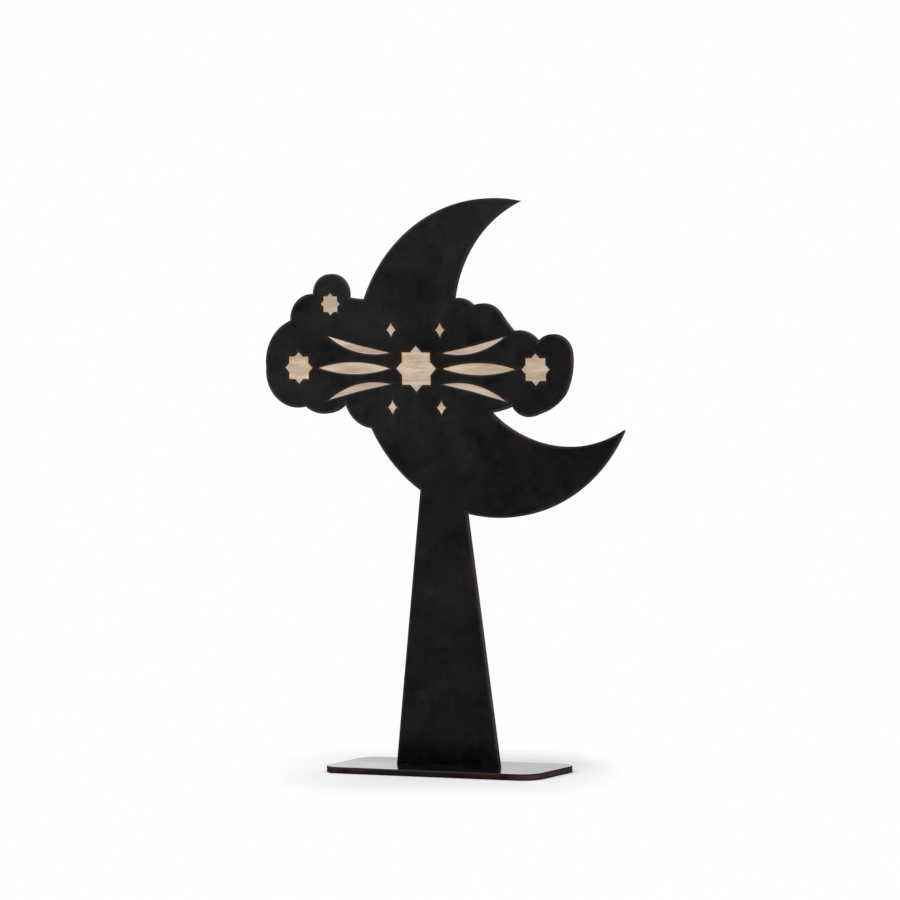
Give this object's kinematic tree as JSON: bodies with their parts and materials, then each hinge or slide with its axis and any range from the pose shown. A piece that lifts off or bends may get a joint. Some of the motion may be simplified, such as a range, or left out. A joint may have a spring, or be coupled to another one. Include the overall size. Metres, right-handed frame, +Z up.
{
  "type": "crescent table stand",
  "caption": "Flat upright panel, a crescent moon with a scalloped cloud on a tapered post, inlaid with pale wood ornament and slotted into a rounded base plate.",
  "frame": {"origin": "middle of the base plate's underside", "axes": "+Z up, the panel lies along X and its face looks along -Y"},
  "size_m": [0.1857, 0.0446, 0.2632],
  "materials": {
    "base_board": "thin board with a glossy black face and laser-browned edges",
    "panel_board": "thin board with a satin black face and laser-browned edges",
    "inlay_wood": "bare pale wood with a level grain and a thin burnt outline"
  },
  "bodies": {
    "base": {"base_plate": "base_board"},
    "upright": {"upright_panel": "panel_board", "inlay_star_middle": "inlay_wood", "inlay_star_upper": "inlay_wood", "inlay_star_left": "inlay_wood", "inlay_star_right": "inlay_wood", "inlay_leaf_left": "inlay_wood", "inlay_leaf_right": "inlay_wood", "inlay_petal_upper_left": "inlay_wood", "inlay_petal_upper_right": "inlay_wood", "inlay_petal_lower_left": "inlay_wood", "inlay_petal_lower_right": "inlay_wood", "inlay_lozenge_upper_left": "inlay_wood", "inlay_lozenge_upper_right": "inlay_wood", "inlay_lozenge_lower_left": "inlay_wood", "inlay_lozenge_lower_right": "inlay_wood"}
  },
  "joints": [
    {"name": "upright_lift", "type": "slide", "parent": "base", "child": "upright", "axis": [0, 0, 1], "range_m": [0, 0.03]}
  ]
}
